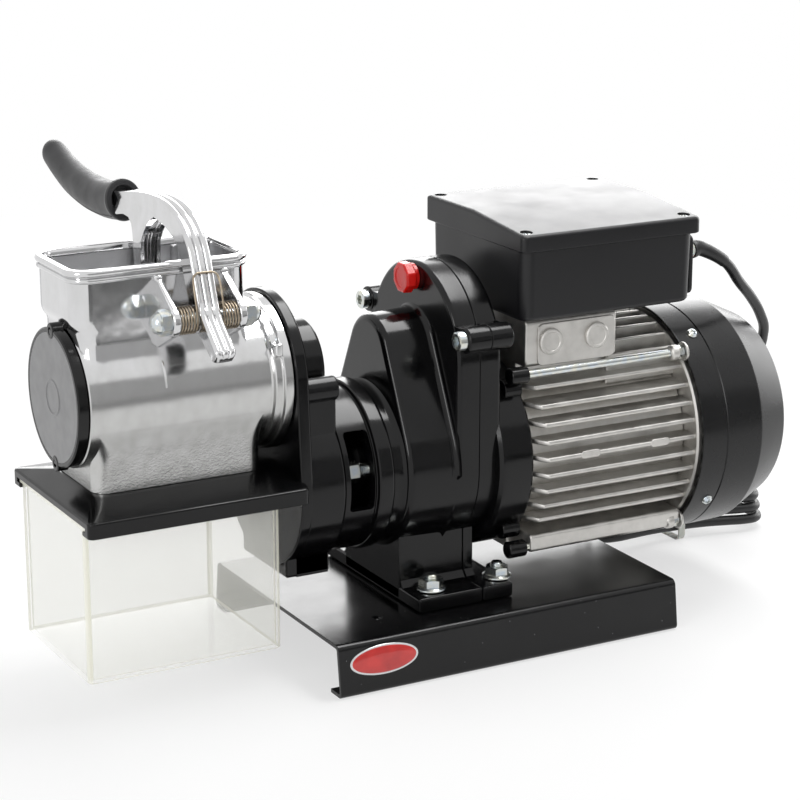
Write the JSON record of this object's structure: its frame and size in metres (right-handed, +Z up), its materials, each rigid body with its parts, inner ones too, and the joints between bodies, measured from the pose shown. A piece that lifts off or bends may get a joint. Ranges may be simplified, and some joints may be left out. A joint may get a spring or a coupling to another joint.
{
  "type": "electric grater",
  "caption": "Electric cheese grater: geared motor on a sheet base drives a toothed drum under a hopper with a hinged presser lever, over a clear box.",
  "frame": {"origin": "bottom centre of the machine without its loose cord, on the surface that it stands on", "axes": "+X along the motor axis from the grater's end cap to the fan cover, +Y to the back, +Z up"},
  "size_m": [0.5436, 0.2714, 0.2897],
  "materials": {
    "black_sheet": "gloss black paint on sheet steel",
    "black_cast": "gloss black paint on cast aluminium",
    "polished_cast": "polished, faintly mottled",
    "raw_cast": "raw die-cast, satin",
    "zinc": "bright zinc plating",
    "gear_steel": "machined",
    "stainless": "bright stainless steel",
    "spring_steel": "bronze-toned spring wire",
    "core_steel": "laminated steel",
    "dark_plastic": "fine-grained dark grey",
    "cap_plastic": "satin dark grey",
    "red_plastic": "glossy red",
    "grip_rubber": "soft matte dark grey",
    "winding": "enamelled copper winding on a steel core",
    "pale_plastic": "off-white",
    "black_plastic": "satin black",
    "clear_plastic": "clear, faintly yellow",
    "cord_rubber": "satin black cable sheath"
  },
  "bodies": {
    "frame": {"base_plate": "black_sheet", "foot_bolt_1": "zinc", "foot_bolt_2": "zinc", "foot_bolt_3": "zinc", "foot_bolt_4": "zinc", "gear_case_front": "black_cast", "gear_case_rear": "black_cast", "case_screw_1": "zinc", "case_screw_2": "zinc", "idler_bearing_front": "gear_steel", "idler_bearing_rear": "gear_steel", "output_bearing_rear": "gear_steel", "output_bearing_front": "gear_steel", "grater_housing": "black_cast", "housing_cover": "black_cast", "drum_bearing_rear": "gear_steel", "drum_bearing_front": "gear_steel", "grater_body": "polished_cast", "end_cap": "cap_plastic", "pivot_rod": "zinc", "pivot_nut": "zinc", "lever_spring": "spring_steel", "motor_frame": "raw_cast", "stator": "winding", "motor_bearing_front": "gear_steel", "motor_bearing_rear": "gear_steel", "rear_shield": "raw_cast", "tie_rod_1": "zinc", "tie_rod_2": "zinc", "tie_rod_3": "zinc", "tie_rod_4": "zinc", "fan_cover": "black_sheet", "terminal_box": "dark_plastic", "terminal_lid": "dark_plastic", "switch_plate": "dark_plastic", "capacitor": "pale_plastic", "terminal_block": "pale_plastic", "bell_bolt_1": "zinc", "bell_bolt_2": "zinc", "cord_gland": "pale_plastic", "cord_run": "cord_rubber", "cord_hank": "cord_rubber", "cord_tail": "cord_rubber", "cord_plug": "cord_rubber", "cable_tie": "pale_plastic"},
    "rotor": {"rotor": "core_steel", "cooling_fan": "black_plastic"},
    "idler": {"idler_gear": "gear_steel", "idler_shaft": "gear_steel"},
    "output": {"output_gear": "gear_steel", "output_shaft": "gear_steel", "multiplier_gear": "gear_steel"},
    "drum": {"drum_shaft": "gear_steel", "grating_drum": "stainless"},
    "lever": {"lever_arm": "polished_cast", "lever_grip": "grip_rubber", "presser_plate": "polished_cast"},
    "box": {"collecting_box": "clear_plastic"},
    "switch": {"switch_rocker": "red_plastic"},
    "plug": {"oil_plug": "red_plastic"}
  },
  "joints": [
    {"name": "rotor_spin", "type": "hinge", "parent": "frame", "child": "rotor", "pos_m": [0.1055, -0.04871, 0.112], "axis": [1, 0, 0], "continuous": true},
    {"name": "idler_spin", "type": "hinge", "parent": "frame", "child": "idler", "pos_m": [0.0055, -0.04871, 0.1776], "axis": [1, 0, 0], "continuous": true},
    {"name": "output_spin", "type": "hinge", "parent": "frame", "child": "output", "pos_m": [-0.0345, -0.04871, 0.112], "axis": [1, 0, 0], "continuous": true},
    {"name": "drum_spin", "type": "hinge", "parent": "frame", "child": "drum", "pos_m": [-0.1545, -0.04871, 0.1776], "axis": [1, 0, 0], "continuous": true},
    {"name": "lever_swing", "type": "hinge", "parent": "frame", "child": "lever", "pos_m": [-0.159, -0.09871, 0.226], "axis": [1, 0, 0], "range_deg": [0, 60], "stiffness_Nm_per_rad": 0.4, "springref_deg": -28.65, "deforming": ["lever_spring"]},
    {"name": "box_slide", "type": "slide", "parent": "frame", "child": "box", "axis": [-1, 0, 0], "range_m": [0, 0.12]},
    {"name": "switch_rock", "type": "hinge", "parent": "frame", "child": "switch", "pos_m": [0.1656, -0.02671, 0.22065], "axis": [0, 1, 0], "range_deg": [0, 24]},
    {"name": "plug_turn", "type": "hinge", "parent": "frame", "child": "plug", "pos_m": [-0.0005, -0.04871, 0.222], "axis": [1, 0, 0], "continuous": true}
  ],
  "couplings": [
    {"joint": "idler_spin", "follows": "rotor_spin", "ratio": -0.39474},
    {"joint": "output_spin", "follows": "rotor_spin", "ratio": 0.15582},
    {"joint": "drum_spin", "follows": "rotor_spin", "ratio": -0.33111}
  ]
}
